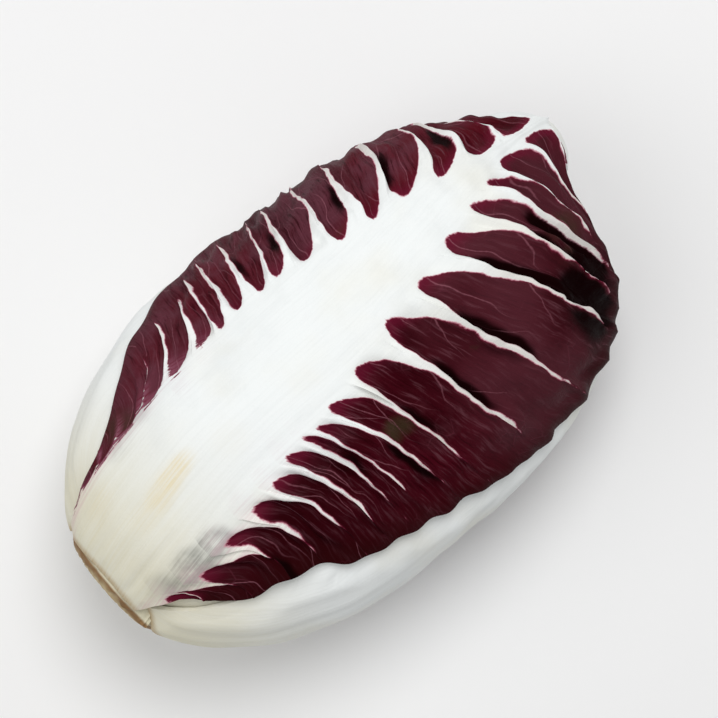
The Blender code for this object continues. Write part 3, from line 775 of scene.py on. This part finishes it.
def make_stem(heart):
    """The core that the leaves grow from, cut across unevenly, with a dried rim and a nub on it."""
    slope = math.tan(math.radians(STEM_ANGLE))
    rim = STEM_RIM * slope
    inside = HEART_GAP - min(vertex.co.x for vertex in heart.data.vertices)
    core = bmesh.new()
    bmesh.ops.create_circle(core, cap_ends=False, segments=STEM_SIDES, radius=1)
    for vertex in core.verts:
        vertex.co = (-inside, vertex.co.y, vertex.co.x)
    profile = [(0.001, inside), (0.012, inside), (inside * slope, inside), (rim, STEM_RIM - 0.0006)]
    for share in (1, *np.linspace(0.98, 0.02, FACE_RINGS)):
        dome = (STEM_FACE - STEM_RIM) * (1 - share**8)
        profile.append((rim * share - 0.0003, STEM_RIM + dome))
    first = edges = list(core.edges)
    for radius, reach in profile:
        ring = bmesh.ops.extrude_edge_only(core, edges=edges)["geom"]
        edges = [item for item in ring if isinstance(item, bmesh.types.BMEdge)]
        for vertex in (item for item in ring if isinstance(item, bmesh.types.BMVert)):
            around = math.hypot(vertex.co.y, vertex.co.z)
            vertex.co = (-reach, vertex.co.y / around * radius, vertex.co.z / around * radius)
    for vertex in {vertex for edge in first for vertex in edge.verts}:
        vertex.co = (-inside, vertex.co.y * 0.0005, vertex.co.z * 0.0005)
    bmesh.ops.contextual_create(core, geom=edges)
    bmesh.ops.contextual_create(core, geom=first)
    for vertex in core.verts:
        x, y, z = vertex.co
        face = float(smoothstep(-STEM_RIM + 0.002, -STEM_RIM, x))
        across = np.array(y), np.array(z)
        rough = 0.0006 * ripple(*across, 5, 0.008) + 0.0003 * ripple(*across, 6, 0.003)
        share = math.hypot(y, z) / rim
        azimuth = math.degrees(math.atan2(-y, z))
        nub = math.exp(-(((azimuth - NUB_AZIMUTH) / NUB_SPREAD) ** 2) - ((share - 1) / 0.09) ** 2) * face
        swell = 1 + nub * (0.09 + 0.03 * math.sin(azimuth * 1.3))
        x += face * abs(float(rough)) * (1 - nub)
        vertex.co = (x - 0.0006 * nub, y * swell, z * swell + CENTRE_HEIGHT)
    bmesh.ops.recalc_face_normals(core, faces=core.faces[:])
    mesh = bpy.data.meshes.new("stem_core")
    core.to_mesh(mesh)
    core.free()
    face_outwards(mesh)
    mesh.shade_smooth()
    mesh.set_sharp_from_angle(angle=math.radians(SHARP_ON_STEM))
    return add_object("stem_core", mesh)


class Wire:
    """A number in a material's nodes, so that shader maths reads as plain expressions."""

    def __init__(self, nodes, socket):
        self.nodes, self.socket = nodes, socket

    def _math(self, operation, *others, swap=False):
        values = [self, *others]
        if swap:
            values.reverse()
        return self.nodes.add("ShaderNodeMath", {"operation": operation}, *values)

    def __add__(self, other):
        return self._math("ADD", other)

    __radd__ = __add__

    def __mul__(self, other):
        return self._math("MULTIPLY", other)

    __rmul__ = __mul__

    def __sub__(self, other):
        return self._math("SUBTRACT", other)

    def __rsub__(self, other):
        return self._math("SUBTRACT", other, swap=True)

    def __pow__(self, other):
        return self._math("POWER", other)

    def __abs__(self):
        return self._math("ABSOLUTE")

    def most(self, other):
        return self._math("MAXIMUM", other)

    def ramp(self, low, high):
        """0 at low, 1 at high, smooth between them."""
        settings = {"interpolation_type": "SMOOTHSTEP"}
        return self.nodes.add("ShaderNodeMapRange", settings, self, low, high, 0.0, 1.0)


class Nodes:
    """A new material, and one method that adds any node to it."""

    def __init__(self, name):
        self.material = bpy.data.materials.new(name)
        self.material.use_nodes = True
        self.tree = self.material.node_tree
        self.shader = self.tree.nodes["Principled BSDF"]

    def add(self, kind, settings, *values, output=0, **named):
        node = self.tree.nodes.new(kind)
        for key, value in settings.items():
            setattr(node, key, value)
        sockets = [s for s in node.inputs if s.enabled]
        pairs = list(zip(sockets, values))
        pairs += [(self.named(node, key), value) for key, value in named.items()]
        for socket, value in pairs:
            self.feed(socket, value)
        outputs = [s for s in node.outputs if s.enabled]
        return Wire(self, outputs[output])

    def named(self, node, key):
        wanted = key.replace("_", " ")
        return next(s for s in node.inputs if s.enabled and s.name.lower() == wanted)

    def feed(self, socket, value):
        if isinstance(value, Wire):
            self.tree.links.new(value.socket, socket)
        else:
            socket.default_value = value

    def attribute(self, name, output):
        return self.add("ShaderNodeAttribute", {"attribute_name": name}, output=output)

    def parts(self, vector):
        node = self.add("ShaderNodeSeparateXYZ", {}, vector).socket.node
        return [Wire(self, socket) for socket in node.outputs]

    def vector(self, x, y, z):
        return self.add("ShaderNodeCombineXYZ", {}, x, y, z)

    def noise(self, where, scale, detail, roughness=0.5):
        values = {"scale": scale, "detail": detail, "roughness": roughness}
        return self.add("ShaderNodeTexNoise", {"noise_dimensions": "3D"}, where, **values)

    def mix(self, share, low, high):
        """Colour low where share is 0, high where it is 1."""
        node = self.tree.nodes.new("ShaderNodeMix")
        node.data_type = "RGBA"
        self.feed(node.inputs[0], share)
        for socket, colour in ((node.inputs[6], low), (node.inputs[7], high)):
            self.feed(socket, colour if isinstance(colour, Wire) else (*colour, 1.0))
        return Wire(self, node.outputs[2])

    def bump(self, height, distance, strength):
        return self.add("ShaderNodeBump", {}, strength=strength, distance=distance, height=height)

    def finish(self, colour, roughness, normal=None, **fixed):
        self.feed(self.shader.inputs["Base Color"], colour)
        self.feed(self.shader.inputs["Roughness"], roughness)
        if normal is not None:
            self.feed(self.shader.inputs["Normal"], normal)
        for key, value in fixed.items():
            self.shader.inputs[key.replace("_", " ")].default_value = value
        return self.material


WHITE = (0.86, 0.885, 0.88)
SHADED_WHITE = (0.72, 0.75, 0.75)
CREAM = (0.74, 0.70, 0.53)
STRAW = (0.80, 0.74, 0.56)
YELLOW = (0.78, 0.63, 0.32)
TAN = (0.46, 0.33, 0.17)
WARM_WHITE = (0.62, 0.52, 0.46)
BLUSH = (0.66, 0.44, 0.50)
PALE_PINK = (0.60, 0.28, 0.34)
MAGENTA = (0.150, 0.009, 0.030)
REDDISH = (0.098, 0.0045, 0.0105)
BURGUNDY = (0.056, 0.0028, 0.0078)
DARK_BURGUNDY = (0.023, 0.0009, 0.0024)
DUSKY = (0.088, 0.022, 0.031)
LILAC = (0.150, 0.054, 0.070)
DEEP_LILAC = (0.120, 0.034, 0.050)
WEB_PINK = (0.22, 0.05, 0.08)
VEIN_PINK = (0.36, 0.13, 0.17)
FEATHER_PINK = (0.30, 0.12, 0.17)
RIM_BURGUNDY = (0.026, 0.0025, 0.0030)
SHADOW = (0.006, 0.0004, 0.0007)
BROWN = (0.046, 0.032, 0.016)
SMUDGE = (0.13, 0.135, 0.125)
CORE = (0.62, 0.53, 0.34)
CORE_RING = (0.56, 0.45, 0.26)
DRIED_RIM = (0.24, 0.13, 0.05)
CORE_GRAIN = (0.33, 0.22, 0.11)


def leaf_material():
    """White rib and veins, burgundy blade between them, with the colours running into each other."""
    nodes = Nodes("leaf")
    where = nodes.add("ShaderNodeTexCoord", {}, output=3)

    # In millimetres: out from the rib, off the panel's middle and deep in a crease; then along the leaf,
    # off its middle line and in from its margin
    blade = nodes.attribute("blade", output=2)
    out, middle, crease = nodes.parts(nodes.attribute("vein_way", output=1))
    along, aside, margin = nodes.parts(nodes.attribute("leaf_way", output=1))
    grey, yellow, brown = nodes.parts(nodes.attribute("stain", output=1))

    # How far each point is inside the purple, with an edge that is ragged and in places feathered
    grain = nodes.noise(where, 1100, 2.0)
    ragged = nodes.noise(nodes.vector(out * 0.28, middle, along * 0.02), 1.0, 3.0, 0.6) - 0.5
    fibre = nodes.noise(nodes.vector(along * 0.035, aside * 1.0, 3.0), 1.6, 4.0, 0.62)
    feathered = along.ramp(66, 40) * aside.ramp(-8, -20) * out.ramp(8, 2)
    inside = blade + ragged * 0.9 * out.ramp(14, 0) + (grain - 0.5) * 0.3
    inside = inside + (fibre - 0.5) * 4.5 * feathered

    # The purple
    mottle = nodes.noise(where, 60, 4.0, 0.58)
    patches = nodes.noise(where, 24, 2.0, 0.5)
    streaks = nodes.noise(nodes.vector(out * 0.07, middle * 0.95, along * 0.012), 1.3, 4.0, 0.62)
    # Redder and lighter on the left half: partly the leaf's own tone, partly painted light
    purple = nodes.mix(aside.ramp(4, -20) * 0.9, BURGUNDY, REDDISH)
    purple = nodes.mix(patches.ramp(0.42, 0.66) * 0.8, purple, DARK_BURGUNDY)
    purple = nodes.mix(mottle.ramp(0.52, 0.74) * 0.5, purple, DUSKY)
    # Lighter lilac streaks along the veins: partly the leaf's own striation, partly painted highlight on its
    # folds
    purple = nodes.mix(streaks.ramp(0.50, 0.72) * 0.6, purple, LILAC)
    # Lilac on the left half: partly the leaf's own tone, partly painted light
    at_left = aside.ramp(-12, -24) * (0.25 + mottle.ramp(0.4, 0.6) * 0.5)
    purple = nodes.mix(at_left, purple, DEEP_LILAC)
    # Darker streaks along the veins: partly the leaf's own striation, partly painted shade in its folds
    purple = nodes.mix(streaks.ramp(0.48, 0.28) * 0.85, purple, DARK_BURGUNDY)
    # Painted sheen: dusky towards the tip, on the right half
    painted_sheen_near_tip = along.ramp(88, 125) * aside.ramp(-8, 6) * (0.15 + patches.ramp(0.6, 0.4) * 0.5)
    purple = nodes.mix(painted_sheen_near_tip, purple, DUSKY)
    # Painted shade: darker towards the base on the right half
    purple = nodes.mix(along.ramp(80, 35) * aside.ramp(-5, 8) * 0.6, purple, DARK_BURGUNDY)
    purple = nodes.mix(brown.ramp(0.1, 0.9) * mottle.ramp(0.36, 0.56) * 0.85, purple, BROWN)
    # Darker towards the margin, most on the right half: partly the leaf's own edge colour, partly painted
    # shade
    purple = nodes.mix(margin.ramp(13, 0) * (0.25 + aside.ramp(-5, 5) * 0.45), purple, RIM_BURGUNDY)
    purple = nodes.mix(crease.ramp(0.1, 1.1) * 0.95, purple, SHADOW)

    # Its finest veins and threads, and the redder band beside the rib
    warp = nodes.vector(out * 0.34 + mottle * 1.6, middle * 0.8 + patches * 2.5, along * 0.2)
    web = nodes.add("ShaderNodeTexVoronoi", {"feature": "DISTANCE_TO_EDGE"}, warp, scale=0.36)
    thread = web.ramp(0.045, 0.0) * mottle.ramp(0.5, 0.66)
    purple = nodes.mix(thread * 0.15, purple, WEB_PINK)
    near_rib = out.ramp(10, 0) * inside.ramp(3.4, 0.4)
    purple = nodes.mix(near_rib * 0.75, purple, MAGENTA)
    fine = None
    gaps = nodes.parts(nodes.attribute("thin", output=1))
    strengths = nodes.parts(nodes.attribute("thin_strength", output=1))
    for gap, strength in zip(gaps, strengths):
        line = (abs(gap) + grain * 0.25).ramp(0.34, 0.14) * strength
        fine = line if fine is None else fine.most(line)
    purple = nodes.mix(fine * (0.1 + mottle * 0.55), purple, VEIN_PINK)
    feathers = feathered * inside.ramp(3.5, 0.2) * fibre.ramp(0.35, 0.6)
    purple = nodes.mix(feathers * 0.75, purple, FEATHER_PINK)

    # The white of the rib and the veins, with its stains
    cloud = nodes.noise(where, 32, 3.0, 0.5)
    white = nodes.mix(fibre.ramp(0.4, 0.75) * 0.22, WHITE, SHADED_WHITE)
    white = nodes.mix(mottle.ramp(0.5, 0.72) * 0.3, white, SHADED_WHITE)
    white = nodes.mix(cloud.ramp(0.46, 0.70) * 0.25, white, STRAW)
    white = nodes.mix(along.ramp(46, 6) * (0.5 + fibre * 0.6), white, CREAM)
    white = nodes.mix(yellow.ramp(0.1, 1.4) * (0.25 + fibre.ramp(0.34, 0.66) * 0.45), white, YELLOW)
    white = nodes.mix(out.ramp(4, 32) * 0.45, white, WARM_WHITE)
    white = nodes.mix(along.ramp(3.2, 0.2) * (0.2 + fibre), white, TAN)
    smudge = grey.ramp(0.0, 1.0) * (mottle.ramp(0.25, 0.6) * 0.7 + fibre.ramp(0.3, 0.7) * 0.4)
    white = nodes.mix(smudge * inside.ramp(-9, -3) * 0.85, white, SMUDGE)
    blush = inside.ramp(-4, 0) * along.ramp(60, 25) * fibre.ramp(0.35, 0.65)
    white = nodes.mix(blush * 0.5, white, BLUSH)

    colour = nodes.mix(inside.ramp(-0.2, 0.02), white, PALE_PINK)
    colour = nodes.mix(inside.ramp(-0.05, 0.15), colour, MAGENTA)
    colour = nodes.mix(inside.ramp(0.0, 0.34), colour, purple)
    colour = nodes.mix(crease.ramp(0.4, 1.4) * inside.ramp(-0.2, 0.1) * 0.95, colour, SHADOW)

    purpleness = inside.ramp(-0.2, 0.4)
    roughness = 0.5 - purpleness * 0.08 + (mottle - 0.5) * 0.25
    wrinkle = (grain * 0.35 + thread * 0.4 + fine * 0.5 + streaks * 2.0 + mottle * 1.4) * purpleness
    wrinkle = wrinkle + (fibre * 0.4 + mottle * 0.8 + grain * 0.25) * (1 - purpleness)
    normal = nodes.bump(wrinkle, 0.0005, 0.5)
    return nodes.finish(colour, roughness, normal, Specular_IOR_Level=0.012)


def stem_material():
    """A cut core: cream in the middle, tan and brown where its rim has dried."""
    nodes = Nodes("cut_stem")
    where = nodes.add("ShaderNodeTexCoord", {}, output=3)
    x, y, z = nodes.parts(where)
    up = z - CENTRE_HEIGHT
    radius = (y * y + up * up) ** 0.5
    grain = nodes.noise(where, 260, 4.0, 0.6)
    cloud = nodes.noise(where, 90, 3.0, 0.5)
    ring = radius + (cloud - 0.5) * 0.005
    colour = nodes.mix(ring.ramp(0.004, 0.013), CORE, CORE_RING)
    colour = nodes.mix(ring.ramp(0.0145, 0.0175), colour, DRIED_RIM)
    colour = nodes.mix(grain.ramp(0.45, 0.7) * 0.5, colour, CORE_GRAIN)
    colour = nodes.mix(x.ramp(-0.0778, -0.0768), colour, CREAM)
    normal = nodes.bump(grain + cloud, 0.0008, 0.7)
    return nodes.finish(colour, 0.7 - grain * 0.1, normal, Specular_IOR_Level=0.25)


def floor_material():
    nodes = Nodes("pale_floor")
    return nodes.finish((0.9, 0.9, 0.9, 1), 0.8)


def make_floor():
    sheet = bmesh.new()
    bmesh.ops.create_grid(sheet, x_segments=1, y_segments=1, size=3)
    mesh = bpy.data.meshes.new("floor")
    sheet.to_mesh(mesh)
    sheet.free()
    mesh.materials.append(floor_material())
    floor = add_object("floor", mesh)


# The camera looks straight down. In the photograph the head points up to the right, the scale is this
# many pixels to the metre, and the head's centre is at this pixel, counted from the left and the top
HEAD_TURN = 41
PHOTO_SIDE = 718
PHOTO_SCALE = 3530
HEAD_CENTRE_PIXEL = (322.7, 401.9)
CAMERA_REACH = 0.75


def make_camera():
    camera = bpy.data.cameras.new("camera")
    wide = PHOTO_SIDE / PHOTO_SCALE
    camera.sensor_width = 36
    camera.lens = camera.sensor_width * CAMERA_REACH / wide
    camera.clip_end = 10
    turn = math.radians(HEAD_TURN)
    right = Vector((math.cos(turn), -math.sin(turn), 0))
    up = Vector((math.sin(turn), math.cos(turn), 0))
    beside = (PHOTO_SIDE / 2 - HEAD_CENTRE_PIXEL[0]) / PHOTO_SCALE
    above = (HEAD_CENTRE_PIXEL[1] - PHOTO_SIDE / 2) / PHOTO_SCALE
    eye = add_object("camera", camera)
    eye.location = CENTRE + right * beside + up * above + Vector((0, 0, CAMERA_REACH))
    eye.rotation_euler = (0, 0, -turn)
    bpy.context.scene.camera = eye


def make_light(name, place, size, energy):
    """A round lamp that shines at the head's middle."""
    lamp = bpy.data.lights.new(name, "AREA")
    lamp.shape = "DISK"
    lamp.size = size
    lamp.energy = energy
    light = add_object(name, lamp)
    light.location = place
    light.rotation_euler = (CENTRE - Vector(place)).to_track_quat("-Z", "Y").to_euler()


def make_studio():
    scene = bpy.context.scene
    scene.view_settings.view_transform = "Standard"
    world = bpy.data.worlds.new("studio")
    world.use_nodes = True
    sky = world.node_tree.nodes["Background"]
    sky.inputs["Color"].default_value = (1, 1, 1, 1)
    sky.inputs["Strength"].default_value = 0.4
    scene.world = world
    make_light("key", (0.35, 0.25, 1.1), size=0.6, energy=6.6)
    make_light("fill", (-0.5, 0.3, 1.0), size=1.0, energy=3)


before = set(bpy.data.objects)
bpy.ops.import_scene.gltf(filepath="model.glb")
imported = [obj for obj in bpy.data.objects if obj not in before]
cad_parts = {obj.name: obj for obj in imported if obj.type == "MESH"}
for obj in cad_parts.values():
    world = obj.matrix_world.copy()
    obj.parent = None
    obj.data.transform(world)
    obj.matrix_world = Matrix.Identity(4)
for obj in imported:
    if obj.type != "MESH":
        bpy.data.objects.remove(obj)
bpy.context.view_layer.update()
leaf_finish = leaf_material()
stem_finish = stem_material()
leaves = all_leaves()
covers = []
for index, leaf in enumerate(leaves):
    skin = make_leaf(leaf, leaves[:index], covers)
    covers.append(tree_of(skin.data))
    as_node(skin, leaf["name"], leaf_finish)
heart = make_heart(leaves, covers)
as_node(heart, "heart", leaf_finish)
as_node(make_stem(heart), "stem", stem_finish)
make_floor()
make_camera()
make_studio()
